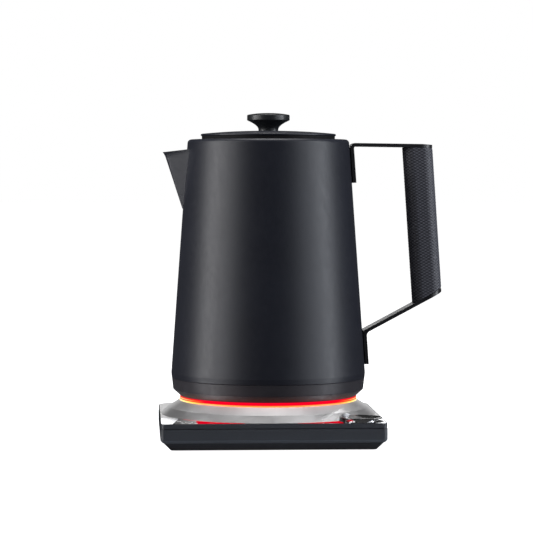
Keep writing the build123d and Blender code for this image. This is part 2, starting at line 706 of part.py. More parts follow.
def lid_gasket():
    return turned([(43.8, 206.0), (45.1, 206.0), (45.1, 208.4), (45.45, 208.8), (45.45, 209.6), (45.1, 210.0),
                   (45.1, RIM_Z), (46.9, RIM_Z), (46.9, LID_UNDER_Z), (43.8, LID_UNDER_Z)])


def lid_liner():
    liner = turned([(0, 204.0), (42.6, 204.0), (43.7, 205.1), (43.7, LID_UNDER_Z), (42.8, LID_UNDER_Z),
                    (42.8, 205.5), (42.2, 204.9), (0, 204.9)])
    for k in range(6):
        liner -= Rot(0, 0, 60 * k) * cylinder(1.5, 200, 208, 30, 0)
    return liner


def lid_knob():
    foot = LID_TOP_Z + 0.02
    knob = turned_edges(
        Line((0, 0, foot), (KNOB_NECK_R, 0, foot)),
        Line((KNOB_NECK_R, 0, foot), (KNOB_NECK_R, 0, 219.2)),
        ThreePointArc((KNOB_NECK_R, 0, 219.2), (9.6, 0, 222.5), (KNOB_R - 0.3, 0, 225.4)),
        Line((KNOB_R - 0.3, 0, 225.4), (KNOB_R, 0, 225.8)),
        Line((KNOB_R, 0, 225.8), (KNOB_R, 0, 228.8)),
        ThreePointArc((KNOB_R, 0, 228.8), (KNOB_R - 0.35, 0, 229.35), (KNOB_R - 1.1, 0, 229.7)),
        ThreePointArc((KNOB_R - 1.1, 0, 229.7), (8.0, 0, 230.5), (2.0, 0, KNOB_TOP_Z)),
        Line((2.0, 0, KNOB_TOP_Z), (0, 0, KNOB_TOP_Z)),
        Line((0, 0, KNOB_TOP_Z), (0, 0, foot)))
    return knob - cylinder(2.05, 200, 226)


def knob_screw():
    screw = cylinder(2.0, 215.9, 225.0) + cylinder(3.6, 213.6, 215.9)
    return screw - extrude(Pos(0, 0, 213.0) * RegularPolygon(1.6, 6), 2)


# ---- write the pieces -------------------------------------------------------
save("foot_ring", foot_ring())
save("base_tub", base_tub())
save("base_screws", base_screws())
save("base_housing", base_housing())
save("top_frame", top_frame())
save("deck_plate", deck_plate())
save("front_trim", front_trim())
save("control_glass", control_glass())
save("glow_windows", glow_windows())
save("panel_icons", panel_icons())
save("dial_well", dial_well())
save("light_ring", light_ring())
save("light_line", light_line())
save("light_board", light_board())
save("ring_leds", ring_leds())
save("connector_dish", connector_dish())
save("base_connector", base_connector())
save("connector_contacts", connector_contacts())
save("power_board", power_board())
save("power_parts", power_parts())
save("control_board", control_board())
save("encoder", encoder())
save("cord_gland", cord_gland())
save("swivel_ring", swivel_ring())
save("dial_stem", dial_stem())
save("dial", dial())
save("dial_cap", dial_cap())
save("body_shell", body_shell())
save("lower_band", lower_band())
save("vessel_floor", vessel_floor())
save("heat_plate", heat_plate())
save("heating_element", heating_element())
save("temperature_probe", temperature_probe())
save("coupler", coupler())
save("coupler_contacts", group(*contact_blades()))
save("under_cover", under_cover())
save("spout", spout())
save("spout_filter", spout_filter())
save("upper_strap", upper_strap())
save("lower_strap", lower_strap())
save("upper_pad", strap_pad(UPPER_TAB_Z, UPPER_BEND_Z - 2.6))
save("lower_pad", strap_pad(LOWER_TAB_Z, LOWER_BEND_Z - 2.6))
save("strap_rivets", strap_rivets())
save("grip", grip())
save("grip_post", grip_post())
save("grip_screws", grip_screws())
save("lid_cap", lid_cap())
save("lid_gasket", lid_gasket())
save("lid_liner", lid_liner())
save("lid_knob", lid_knob())
save("knob_screw", knob_screw())
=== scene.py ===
import bmesh
import bpy
import json
import math
from mathutils import Matrix, Vector

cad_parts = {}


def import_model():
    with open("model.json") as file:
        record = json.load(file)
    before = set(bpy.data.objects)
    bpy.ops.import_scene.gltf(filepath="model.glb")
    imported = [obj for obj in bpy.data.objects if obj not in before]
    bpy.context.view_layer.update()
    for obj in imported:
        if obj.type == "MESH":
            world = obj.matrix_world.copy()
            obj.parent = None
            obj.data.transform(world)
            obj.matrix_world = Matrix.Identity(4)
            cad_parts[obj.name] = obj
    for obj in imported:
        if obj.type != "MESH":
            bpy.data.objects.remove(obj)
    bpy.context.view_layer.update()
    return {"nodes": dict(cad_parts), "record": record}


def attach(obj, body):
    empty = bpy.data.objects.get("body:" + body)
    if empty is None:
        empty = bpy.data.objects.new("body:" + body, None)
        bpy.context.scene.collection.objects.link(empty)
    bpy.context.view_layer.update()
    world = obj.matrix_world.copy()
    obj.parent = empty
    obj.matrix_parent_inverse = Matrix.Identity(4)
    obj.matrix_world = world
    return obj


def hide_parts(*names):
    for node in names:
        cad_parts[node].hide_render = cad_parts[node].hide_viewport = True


# Electric kettle on its heating base. Lengths are in metres, in the CAD model's frame:
# Z up, the kettle's axis at X = Y = 0, the spout to -X, the handle to +X, the panel to -Y.

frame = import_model()
nodes = frame["nodes"]
MM = 0.001
NOISE_LOW, NOISE_HIGH = 0.35, 0.65

# ---- camera: where the photograph was taken from ------------------------------
LENS_MM, SENSOR_MM = 156.39, 36.0
CAMERA_AT = Vector((-0.0939, -1.632, 0.1871))
YAW_DEG, TILT_DEG, ROLL_DEG = -3.25, -2.258, 0.05


# ---- materials ----------------------------------------------------------------
class Look:
    """A material with a Principled shader and object-space coordinates to build on."""

    def __init__(self, name, color, roughness, metallic=0.0, **sockets):
        self.mat = bpy.data.materials.new(name)
        self.mat.use_nodes = True
        self.tree = self.mat.node_tree
        self.bsdf = self.tree.nodes["Principled BSDF"]
        self.bsdf.inputs["Base Color"].default_value = (*color, 1)
        self.bsdf.inputs["Roughness"].default_value = roughness
        self.bsdf.inputs["Metallic"].default_value = metallic
        for label, value in sockets.items():
            self.bsdf.inputs[label.replace("_", " ")].default_value = value
        self.coords = self.add("ShaderNodeTexCoord").outputs["Object"]
        self.normal = None

    def add(self, kind, **values):
        node = self.tree.nodes.new(kind)
        for key, value in values.items():
            setattr(node, key, value)
        return node

    def link(self, a, b):
        self.tree.links.new(a, b)

    def noise(self, scale, detail=3.0, stretch=(1, 1, 1)):
        mapping = self.add("ShaderNodeMapping")
        mapping.inputs["Scale"].default_value = stretch
        self.link(self.coords, mapping.inputs["Vector"])
        noise = self.add("ShaderNodeTexNoise")
        noise.inputs["Scale"].default_value = scale
        noise.inputs["Detail"].default_value = detail
        self.link(mapping.outputs["Vector"], noise.inputs["Vector"])
        return noise.outputs["Fac"]

    def spread(self, value, low, high, low_out, high_out):
        ranged = self.add("ShaderNodeMapRange")
        ranged.inputs["From Min"].default_value = low
        ranged.inputs["From Max"].default_value = high
        ranged.inputs["To Min"].default_value = low_out
        ranged.inputs["To Max"].default_value = high_out
        self.link(value, ranged.inputs["Value"])
        return ranged.outputs["Result"]

    def vary_roughness(self, scale, low, high, **kw):
        level = self.spread(self.noise(scale, **kw), NOISE_LOW, NOISE_HIGH, low, high)
        self.link(level, self.bsdf.inputs["Roughness"])
        return self

    def vary_color(self, scale, dark, light, **kw):
        ramp = self.add("ShaderNodeValToRGB")
        ramp.color_ramp.elements[0].position = NOISE_LOW
        ramp.color_ramp.elements[1].position = NOISE_HIGH
        ramp.color_ramp.elements[0].color = (*dark, 1)
        ramp.color_ramp.elements[1].color = (*light, 1)
        self.link(self.noise(scale, **kw), ramp.inputs["Fac"])
        self.link(ramp.outputs["Color"], self.bsdf.inputs["Base Color"])
        return self

    def bump(self, height, distance, strength=1.0):
        bump = self.add("ShaderNodeBump")
        bump.inputs["Distance"].default_value = distance
        bump.inputs["Strength"].default_value = strength
        self.link(height, bump.inputs["Height"])
        if self.normal:
            self.link(self.normal, bump.inputs["Normal"])
        self.normal = bump.outputs["Normal"]
        self.link(self.normal, self.bsdf.inputs["Normal"])
        return self

    def grain(self, scale, distance, strength=1.0, **kw):
        return self.bump(self.noise(scale, **kw), distance, strength)


looks = {}


def body_paint():
    look = Look("body_paint", (0.010, 0.0115, 0.016), 0.44)
    look.vary_color(38, (0.0092, 0.0108, 0.0190), (0.0110, 0.0128, 0.0220))
    look.vary_roughness(260, 0.42, 0.47, detail=5.0)
    return look.grain(2600, 0.00003, 0.35, detail=4.0)


def strap_paint():
    look = Look("strap_paint", (0.012, 0.012, 0.015), 0.36)
    look.vary_color(60, (0.010, 0.010, 0.013), (0.015, 0.015, 0.018))
    look.vary_roughness(300, 0.33, 0.40, detail=4.0)
    return look.grain(2400, 0.00003, 0.3, detail=4.0)


def dark_plastic(name, dark, light, low, high, grain):
    look = Look(name, light, low)
    look.vary_color(90, dark, light)
    look.vary_roughness(400, low, high, detail=4.0)
    return look.grain(grain, 0.00004, 0.3, detail=3.0)


def black_rubber():
    look = Look("rubber_feet", (0.005, 0.005, 0.006), 0.7, Specular_IOR_Level=0.2)
    look.vary_color(90, (0.004, 0.004, 0.005), (0.007, 0.007, 0.008))
    look.vary_roughness(400, 0.64, 0.76, detail=4.0)
    return look.grain(1400, 0.00004, 0.3)


def base_plastic():
    """Matte plastic with painted shade darkening it towards the table, and a painted highlight on the
    bevel round the housing.
    """
    look = Look("base_plastic", (0.026, 0.028, 0.036), 0.5)
    height = axis_value(look, "Z", 0.0008, 0.0208)
    low, tub = (0.008, 0.009, 0.012), (0.021, 0.023, 0.030)
    painted_bevel_highlight, face, frame_tone = (0.066, 0.075, 0.094), (0.015, 0.0185, 0.026), (0.0135, 0.0155, 0.022)
    # stops by height: painted shade from the table up to the tub tone, a painted highlight on the bevel
    # band, then the face and frame tones
    stops = [(0.0, low), (0.255, tub), (0.275, painted_bevel_highlight), (0.355, painted_bevel_highlight), (0.375, face), (1.0, frame_tone)]
    look.link(ramp_stops(look, height, stops), look.bsdf.inputs["Base Color"])
    look.vary_roughness(400, 0.46, 0.54, detail=4.0)
    return look.grain(1500, 0.00004, 0.3)


def grip_rubber():
    look = Look("grip_rubber", (0.040, 0.041, 0.050), 0.55)
    dots = look.add("ShaderNodeAttribute", attribute_name="dot_height")
    # painted shade in the gaps between the dots and a painted highlight on their tops, following the dot
    # height
    painted_dot_shading = [(0.0, (0.020, 0.020, 0.026)), (0.45, (0.048, 0.048, 0.060)), (1.0, (0.140, 0.142, 0.172))]
    look.link(ramp_stops(look, dots.outputs["Fac"], painted_dot_shading), look.bsdf.inputs["Base Color"])
    look.vary_roughness(700, 0.48, 0.60)
    return look.grain(3200, 0.00002, 0.3)


def satin_deck():
    look = Look("satin_deck", (0.55, 0.545, 0.55), 0.34, 1.0)
    look.vary_color(70, (0.53, 0.525, 0.53), (0.58, 0.575, 0.58))
    look.vary_roughness(500, 0.31, 0.37, detail=5.0)
    return look.grain(2200, 0.00003, 0.3, detail=5.0)


def bright_trim():
    look = Look("bright_trim", (0.92, 0.93, 0.96), 0.30, 0.35)
    look.vary_roughness(600, 0.26, 0.34)
    return look.grain(900, 0.00001, 0.2, stretch=(1, 8, 1))


def black_gloss(name):
    look = Look(name, (0.008, 0.008, 0.009), 0.08, Specular_IOR_Level=0.45)
    look.vary_roughness(120, 0.06, 0.11)
    return look.grain(60, 0.00002, 0.15)


def dial_chrome():
    look = Look("dial_chrome", (0.78, 0.78, 0.80), 0.10, 1.0)
    look.vary_roughness(500, 0.08, 0.14, stretch=(1, 1, 10))
    return look.grain(1500, 0.00001, 0.15, stretch=(1, 1, 12))


def metal(name, dark, light, low, high, stretch=(1, 1, 1)):
    look = Look(name, light, low, 1.0)
    look.vary_color(160, dark, light)
    look.vary_roughness(450, low, high, detail=4.0, stretch=stretch)
    return look.grain(1600, 0.00002, 0.3, stretch=stretch)


def ramp_stops(look, value, stops):
    """Colour ramp through (position, colour) stops."""
    ramp = look.add("ShaderNodeValToRGB")
    elements = ramp.color_ramp.elements
    elements[0].position, elements[0].color = stops[0][0], (*stops[0][1], 1)
    elements[1].position, elements[1].color = stops[-1][0], (*stops[-1][1], 1)
    for position, color in stops[1:-1]:
        elements.new(position).color = (*color, 1)
    look.link(value, ramp.inputs["Fac"])
    return ramp.outputs["Color"]


def axis_value(look, axis, low, high, absolute=False):
    """One object-space coordinate mapped to 0..1."""
    split = look.add("ShaderNodeSeparateXYZ")
    look.link(look.coords, split.inputs["Vector"])
    value = split.outputs[axis]
    if absolute:
        size = look.add("ShaderNodeMath", operation="ABSOLUTE")
        look.link(value, size.inputs[0])
        value = size.outputs[0]
    return look.spread(value, low, high, 0.0, 1.0)


GLOW_MIDDLE_X, GLOW_END_X = 0.040, 0.0626


def glow(name, color, strength, stops):
    """Lit plastic whose colour runs from the middle towards the two ends."""
    look = Look(name, color, 0.35)
    look.bsdf.inputs["Emission Strength"].default_value = strength
    value = axis_value(look, "X", GLOW_MIDDLE_X, GLOW_END_X, absolute=True)
    look.link(ramp_stops(look, value, stops), look.bsdf.inputs["Emission Color"])
    look.grain(900, 0.00001, 0.2)
    return look


def white_marks():
    look = Look("icon_white", (0.8, 0.8, 0.8), 0.35)
    look.bsdf.inputs["Emission Color"].default_value = (0.62, 0.62, 0.65, 1)
    look.bsdf.inputs["Emission Strength"].default_value = 0.8
    return look.vary_roughness(600, 0.30, 0.40)


def well_black():
    """Black inside the dial's well, silver where its wall stands above the deck."""
    look = Look("well_black", (0.008, 0.008, 0.009), 0.2)
    above = axis_value(look, "Z", 0.0192, 0.0196)
    stops = [(0.0, (0.008, 0.008, 0.009)), (1.0, (0.55, 0.545, 0.55))]
    look.link(ramp_stops(look, above, stops), look.bsdf.inputs["Base Color"])
    look.link(above, look.bsdf.inputs["Metallic"])
    look.link(look.spread(above, 0.0, 1.0, 0.15, 0.45), look.bsdf.inputs["Roughness"])
    return look.grain(900, 0.00001, 0.2)


def red_glow():
    """Red light with a hot line part-way up that shows towards the two ends of the ring."""
    look = Look("red_glow", (0.1, 0.0, 0.002), 0.5, Specular_IOR_Level=0.0)
    level = look.spread(axis_value(look, "Z", 0.0200, 0.0290), 0.0, 1.0, 0.62, 1.0)
    look.link(level, look.bsdf.inputs["Emission Strength"])
    ends = axis_value(look, "X", 0.038, 0.0612, absolute=True)
    rising = axis_value(look, "Z", 0.0298, 0.0308)
    falling = axis_value(look, "Z", 0.0319, 0.0308)
    line = look.add("ShaderNodeMath", operation="MULTIPLY")
    look.link(rising, line.inputs[0])
    look.link(falling, line.inputs[1])
    heat = look.add("ShaderNodeMath", operation="MULTIPLY")
    look.link(line.outputs[0], heat.inputs[0])
    look.link(ends, heat.inputs[1])
    stops = [(0.0, RED), (0.30, RED), (0.62, ORANGE), (0.95, HOT)]
    look.link(ramp_stops(look, heat.outputs[0], stops), look.bsdf.inputs["Emission Color"])
    return look.grain(900, 0.00001, 0.2)


RED = (1.0, 0.001, 0.021)
ORANGE = (1.0, 0.24, 0.03)
YELLOW = (1.0, 0.72, 0.12)
HOT = (1.0, 0.92, 0.50)


# name, dark tone, light tone, lowest and highest roughness, grain scale
PLASTICS = [
    ("band_plastic", (0.027, 0.025, 0.031), (0.034, 0.032, 0.039), 0.42, 0.48, 1800),
    ("knob_plastic", (0.011, 0.012, 0.014), (0.015, 0.017, 0.019), 0.34, 0.40, 2000),
    ("inner_plastic", (0.020, 0.020, 0.022), (0.028, 0.028, 0.030), 0.50, 0.58, 1200),
    ("swivel_plastic", (0.035, 0.035, 0.038), (0.05, 0.05, 0.053), 0.4, 0.5, 1000),
    ("component_plastic", (0.03, 0.03, 0.034), (0.05, 0.05, 0.055), 0.4, 0.5, 1000),
    ("circuit_board", (0.02, 0.10, 0.05), (0.03, 0.14, 0.07), 0.35, 0.45, 900),
]

# name, dark tone, light tone, lowest and highest roughness
METALS = [
    ("screw_steel", (0.30, 0.30, 0.31), (0.38, 0.38, 0.39), 0.30, 0.40),
    ("heat_aluminium", (0.50, 0.50, 0.50), (0.60, 0.60, 0.60), 0.40, 0.50),
    ("contact_brass", (0.60, 0.44, 0.18), (0.74, 0.57, 0.26), 0.22, 0.32),
]
BRUSHED_UPWARD = (1, 1, 12)
AMBER_STOPS = [(0.0, ORANGE), (0.35, ORANGE), (0.7, YELLOW), (1.0, HOT)]

looks["body_paint"] = body_paint()
looks["strap_paint"] = strap_paint()
looks["base_plastic"] = base_plastic()
looks["rubber_feet"] = black_rubber()
looks["grip_rubber"] = grip_rubber()
looks["satin_deck"] = satin_deck()
looks["bright_trim"] = bright_trim()
looks["panel_glass"] = black_gloss("panel_glass")
looks["dial_gloss"] = black_gloss("dial_gloss")
looks["dial_chrome"] = dial_chrome()
looks["icon_white"] = white_marks()
looks["red_glow"] = red_glow()
looks["led_resin"] = glow("led_resin", (0.9, 0.8, 0.6), 1.0, [(0.0, ORANGE), (1.0, YELLOW)])
looks["amber_glow"] = glow("amber_glow", (0.6, 0.3, 0.05), 1.0, AMBER_STOPS)
looks["inner_steel"] = metal(
    "inner_steel", (0.50, 0.50, 0.50), (0.60, 0.60, 0.60), 0.26, 0.36, BRUSHED_UPWARD)
for row in PLASTICS:
    looks[row[0]] = dark_plastic(*row)
for row in METALS:
    looks[row[0]] = metal(*row)

slot_of = {part["node"]: part["material_slot"] for part in frame["record"]["subparts"]}
for name, obj in nodes.items():
    obj.data.materials.clear()
    obj.data.materials.append(looks[slot_of[name]].mat)
nodes["dial_well"].data.materials[0] = well_black().mat

# the plinth's shallow crease stays a crisp line
crease = nodes["deck_plate"].modifiers.new("crease", "EDGE_SPLIT")
crease.split_angle = math.radians(7.0)


# ---- mesh helpers ---------------------------------------------------------------
def add_mesh(name, verts, faces, slot, body, sharp_deg=35.0, replaced=()):
    """A smooth-shaded piece that rides on a body and may stand for CAD nodes."""
    mesh = bpy.data.meshes.new(name)
    mesh.from_pydata(verts, [], faces)
    mesh.validate()
    solid = bmesh.new()
    solid.from_mesh(mesh)
    bmesh.ops.recalc_face_normals(solid, faces=solid.faces)
    solid.to_mesh(mesh)
    solid.free()
    mesh.shade_smooth()
    mesh.set_sharp_from_angle(angle=math.radians(sharp_deg))
    mesh.materials.append(looks[slot].mat)
    obj = bpy.data.objects.new(name, mesh)
    bpy.context.scene.collection.objects.link(obj)
    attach(obj, body)
    if replaced:
        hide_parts(*replaced)
    return obj


def bridge(rings):
    """Quads between rings of equal length; each ring is closed on itself."""
    count = len(rings[0])
    verts = [p for ring in rings for p in ring]
    faces = []
    for i in range(len(rings) - 1):
        a, b = i * count, (i + 1) * count
        for k in range(count):
            n = (k + 1) % count
            faces.append((a + k, a + n, b + n, b + k))
    return verts, faces


# ---- grip: leaning oval sleeve with a raised staggered dot texture -----------------
GRIP_W, GRIP_D, GRIP_R = 21.3, 18.0, 7.6
GRIP_X, GRIP_Z, GRIP_LEAN = 106.1, 197.9, 0.0677
GRIP_STEP = 0.32
GRIP_ROWS = 330
DOT_U, DOT_V, DOT_H = 3.6, 2.1, 0.35
LOW_GAP, HIGH_GAP = 0.15, 0.1
EDGE_BAND, EDGE_DEPTH = 1.2, 0.35
LOW_LEVEL, HIGH_LEVEL = 100.0, 206.0


def oval_points(step):
    """Points round the grip's level section, with their outward normals and arc length."""
    straight_x, straight_y = GRIP_W - 2 * GRIP_R, GRIP_D - 2 * GRIP_R
    arc = math.pi / 2 * GRIP_R
    pieces = [straight_x / 2, arc, straight_y, arc, straight_x, arc, straight_y, arc, straight_x / 2]
    total = sum(pieces)
    count = int(round(total / step))
    points = []
    for k in range(count):
        s = total * k / count
        rest = s
        index = 0
        while rest > pieces[index]:
            rest -= pieces[index]
            index += 1
        points.append(oval_at(index, rest, straight_x, straight_y) + (s,))
    return points, total


def oval_at(index, rest, straight_x, straight_y):
    """Point and outward normal, at a distance along one straight or corner of the oval."""
    hx, hy = straight_x / 2, straight_y / 2
    if index in (0, 4, 8):
        if index == 4:
            return (hx - rest, GRIP_D / 2, 0.0, 1.0)
        x = rest if index == 0 else -hx + rest
        return (x, -GRIP_D / 2, 0.0, -1.0)
    if index in (2, 6):
        if index == 2:
            return (GRIP_W / 2, -hy + rest, 1.0, 0.0)
        return (-GRIP_W / 2, hy - rest, -1.0, 0.0)
    turn = rest / GRIP_R
    corners = {1: ((hx, -hy), -90), 3: ((hx, hy), 0), 5: ((-hx, hy), 90), 7: ((-hx, -hy), 180)}
    centre, start = corners[index]
    angle = math.radians(start) + turn
    nx, ny = math.cos(angle), math.sin(angle)
    return (centre[0] + GRIP_R * nx, centre[1] + GRIP_R * ny, nx, ny)


# the strap faces that end the sleeve, as (x, z) points in millimetres
UPPER_FACE = ((60.0, 207.35), (108.0, 206.75), (116.2, 206.2))
LOWER_FACE = ((67.96, 78.16), (123.0, 107.56))


def line_z(points, x):
    """Height of a broken line of (x, z) points at x."""
    for (xa, za), (xb, zb) in zip(points, points[1:]):
        if x <= xb or (xb, zb) == points[-1]:
            return za + (zb - za) * (x - xa) / (xb - xa)


def grip_mesh():
    """Sleeve cut by the two strap faces, with the height of the dot pattern at every point."""
    around, total = oval_points(GRIP_STEP)
    columns = max(1, round(total / DOT_U))
    rings, dots = [], []
    for i in range(GRIP_ROWS + 1):
        ring = []
        for x, y, nx, ny, s in around:
            z_low = line_z(LOWER_FACE, grip_centre(LOW_LEVEL) + x) + LOW_GAP
            z_high = line_z(UPPER_FACE, grip_centre(HIGH_LEVEL) + x) - HIGH_GAP
            share = i / GRIP_ROWS
            z = z_low + (z_high - z_low) * share
            edge = min(1.0, min(z - z_low, z_high - z) / EDGE_BAND)
            stagger = math.cos(2 * math.pi * columns * s / total) * math.cos(2 * math.pi * z / DOT_V)
            h = DOT_H * (0.5 * stagger - 0.5) * edge - EDGE_DEPTH * (1 - edge) ** 2
            ring.append(((grip_centre(z) + x + nx * h) * MM, (y + ny * h) * MM, z * MM))
            dots.append(0.5 + 0.5 * stagger)
        rings.append(ring)
    verts, faces = bridge(rings)
    count = len(around)
    faces.append(tuple(range(count))[::-1])
    faces.append(tuple(range(GRIP_ROWS * count, (GRIP_ROWS + 1) * count)))
    return verts, faces, dots


def grip_centre(z):
    """X of the leaning grip's centre line at a height."""
    return GRIP_X + (GRIP_Z - z) * GRIP_LEAN


verts, faces, dots = grip_mesh()
sleeve = add_mesh("grip_sleeve", verts, faces, "grip_rubber", "kettle", 60.0, ("grip",))
sleeve.data.attributes.new("dot_height", "FLOAT", "POINT").data.foreach_set("value", dots)


# ---- turned pieces: the lid's knob, the dial's dished top and its skirt ------------
NEAR_AXIS = 0.02


def arc(centre, radius, start_deg, end_deg, count=8):
    """Points on a circular arc in the (radius, z) plane."""
    angles = [math.radians(start_deg + (end_deg - start_deg) * k / count) for k in range(count + 1)]
    return [(centre[0] + radius * math.cos(a), centre[1] + radius * math.sin(a)) for a in angles]


def turned_mesh(profile, centre=(0.0, 0.0), segments=160):
    """Closed solid of revolution; the profile starts and ends near the axis."""
    rings = []
    for r, z in profile:
        ring = []
        for k in range(segments):
            angle = 2 * math.pi * k / segments
            x = centre[0] + r * math.cos(angle)
            y = centre[1] + r * math.sin(angle)
            ring.append((x * MM, y * MM, z * MM))
        rings.append(ring)
    verts, faces = bridge(rings)
    faces.append(tuple(range(segments))[::-1])
    faces.append(tuple(range((len(rings) - 1) * segments, len(rings) * segments)))
    return verts, faces


def knob_profile():
    """Mushroom: a neck that flares to the rim, and a shallow crown."""
    foot, neck, rim, top = 218.32, 7.0, 15.0, 230.85
    flank_z, flank_rise = 219.2, 6.3
    edge, edge_z = 0.5, 226.1
    shoulder, shoulder_z = 0.9, 228.8
    crown_drop = 1.15
    shares = [k / 16 for k in range(17)]
    flank = [(neck + (rim - edge - neck) * t ** 1.75, flank_z + flank_rise * t ** 0.92) for t in shares]
    steps = (13.0, 11.0, 9.0, 7.0, 5.0, 3.0, 1.0, NEAR_AXIS)
    crown = [(x, top - crown_drop * (x / (rim - shoulder)) ** 2.4) for x in steps]
    return ([(NEAR_AXIS, foot), (neck, foot)] + flank + arc((rim - edge, edge_z), edge, -60, 0, 4)
            + arc((rim - shoulder, shoulder_z), shoulder, 0, 78, 8) + crown)


# the dial's axis in millimetres, and the drum under its disc
DIAL_AT = (60.4, -62.0)
SKIRT_RADIUS, SKIRT_LOW_Z, SKIRT_TOP_Z = 11.4, 19.4, 21.55


def dish_profile():
    """Flat disc with rounded edges and a shallow dish in its top."""
    lip, low, top, floor_z = 14.2, 21.5, 22.2, 21.75
    flat_inset, dish_radius = 0.4, 13.6
    under, over = 0.3, 0.25
    steps = (12.5, 11.0, 9.0, 7.0, 5.0, 3.0, 1.0, NEAR_AXIS)
    dish = [(x, floor_z + (top - floor_z) * (x / dish_radius) ** 2.2) for x in steps]
    return ([(NEAR_AXIS, low), (lip - flat_inset, low)] + arc((lip - under, low + under), under, -80, 0, 4)
            + arc((lip - over, top - over), over, 0, 100, 6) + dish)


def skirt_profile():
    """Plain drum that carries the disc."""
    return [(NEAR_AXIS, SKIRT_LOW_Z), (SKIRT_RADIUS, SKIRT_LOW_Z),
            (SKIRT_RADIUS, SKIRT_TOP_Z), (NEAR_AXIS, SKIRT_TOP_Z)]


verts, faces = turned_mesh(knob_profile())
add_mesh("knob_turned", verts, faces, "knob_plastic", "lid", 50.0, ("lid_knob",))
verts, faces = turned_mesh(dish_profile(), DIAL_AT)
add_mesh("dial_dish", verts, faces, "dial_gloss", "dial_knob", 50.0, ("dial_cap",))
verts, faces = turned_mesh(skirt_profile(), DIAL_AT)
add_mesh("dial_skirt", verts, faces, "dial_chrome", "dial_knob", 50.0, ("dial",))


# ---- spout: folded V with a lip that flares at the mouth ---------------------------
BODY_LOW_R, BODY_LOW_Z = 68.5, 48.2
BODY_TOP_R, BODY_TOP_Z = 56.98, 209.7
TAPER = (BODY_LOW_R - BODY_TOP_R) / (BODY_TOP_Z - BODY_LOW_Z)
SPOUT_LOW_Z, SPOUT_TIP_Z = 162.6, 203.25
SPOUT_TIP_X, SPOUT_NOSE_R, SPOUT_HALF_ANGLE = -73.6, 4.5, math.radians(30.5)
SPOUT_RIM_RISE = 0.115
LIP_FLARE, LIP_DEPTH = 0.85, 4.2
LIP_FADE, RIM_BAND, RIM_THINNING = 0.7, 1.0, 0.35
SPOUT_SHEET, SPOUT_EMBED, ROOT_SHARE = 1.3, 0.5, 0.2
SPOUT_COLUMNS, SPOUT_ROWS, SPOUT_START, ROW_CROWDING = 72, 60, 0.02, 0.9
NOSE_SHARE = 0.3
HALVINGS = 40


def wall_r(z):
    """Radius of the tapered body at a height."""
    return BODY_TOP_R + (BODY_TOP_Z - z) * TAPER


def spout_point(u, share):
    """Point and outward normal on the V; u runs -1..1 from one root over the nose to the other."""
    apex_x = -wall_r(SPOUT_LOW_Z)
    z = SPOUT_LOW_Z + share * (SPOUT_TIP_Z - SPOUT_LOW_Z)
    nose_x = SPOUT_TIP_X + SPOUT_NOSE_R
    across, along = math.sin(SPOUT_HALF_ANGLE), math.cos(SPOUT_HALF_ANGLE)
    side = 1 if u > 0 else -1
    if abs(u) <= NOSE_SHARE:
        angle = (math.pi / 2 - SPOUT_HALF_ANGLE) * u / NOSE_SHARE
        nx, ny = -math.cos(angle), math.sin(angle)
        x, y = nose_x + SPOUT_NOSE_R * nx, SPOUT_NOSE_R * ny
        return apex_x + share * (x - apex_x), share * y, z, nx, ny
    tx = apex_x + share * (nose_x - SPOUT_NOSE_R * across - apex_x)
    ty = share * SPOUT_NOSE_R * along
    reach = wall_r(z) - SPOUT_EMBED
    half_b = tx * along + ty * across
    root = half_b * half_b - (tx * tx + ty * ty - reach * reach)
    length = max(0.0, -half_b - math.sqrt(max(0.0, root)))
    t = (abs(u) - NOSE_SHARE) / (1 - NOSE_SHARE) * length
    return tx + t * along, side * (ty + t * across), z, -across, side * along


def spout_rim_share(u):
    """Share of the height at which the rising rim cuts the line u."""
    low, high = 0.5, 1.4
    for _ in range(HALVINGS):
        middle = (low + high) / 2
        x, _, z, _, _ = spout_point(u, middle)
        if z < SPOUT_TIP_Z + SPOUT_RIM_RISE * (x - SPOUT_TIP_X):
            low = middle
        else:
            high = middle
    return low


def spout_mesh():
    """Bent sheet with an outer and an inner side, thinner at the rim and the root."""
    columns, rows = SPOUT_COLUMNS, SPOUT_ROWS
    outer, inner = [], []
    for i in range(columns + 1):
        u = -1 + 2 * i / columns
        top = spout_rim_share(u)
        for j in range(rows + 1):
            share = SPOUT_START + (top - SPOUT_START) * (j / rows) ** ROW_CROWDING
            x, y, z, nx, ny = spout_point(u, share)
            depth = (top - share) * (SPOUT_TIP_Z - SPOUT_LOW_Z)
            flare = LIP_FLARE * max(0.0, 1 - depth / LIP_DEPTH) ** 2 * max(0.0, 1 - abs(u)) ** LIP_FADE
            thinning = 1 - RIM_THINNING * max(0.0, 1 - depth / RIM_BAND)
            wall = SPOUT_SHEET * min(1.0, share / ROOT_SHARE) * thinning
            x, y = x + nx * flare, y + ny * flare
            outer.append((x * MM, y * MM, z * MM))
            inner.append(((x - nx * wall) * MM, (y - ny * wall) * MM, z * MM))
    stride, shift = rows + 1, len(outer)
    faces = []
    for i in range(columns):
        for j in range(rows):
            a, b = i * stride + j, (i + 1) * stride + j
            faces.append((a, a + 1, b + 1, b))
            faces.append((shift + a, shift + b, shift + b + 1, shift + a + 1))
        low, high = i * stride, i * stride + rows
        faces.append((high, shift + high, shift + high + stride, high + stride))
        faces.append((low, low + stride, shift + low + stride, shift + low))
    for j in range(rows):
        last = columns * stride + j
        faces.append((j, shift + j, shift + j + 1, j + 1))
        faces.append((last, last + 1, shift + last + 1, shift + last))
    return outer + inner, faces


verts, faces = spout_mesh()
add_mesh("spout_shell", verts, faces, "body_paint", "kettle", 40.0, ("spout",))


# ---- stage ------------------------------------------------------------------------
FLOOR_FAR, FLOOR_GLOW = 14.0, 0.97
BACKDROP_SEEN, BACKDROP_LIGHT = 1.0, 0.05


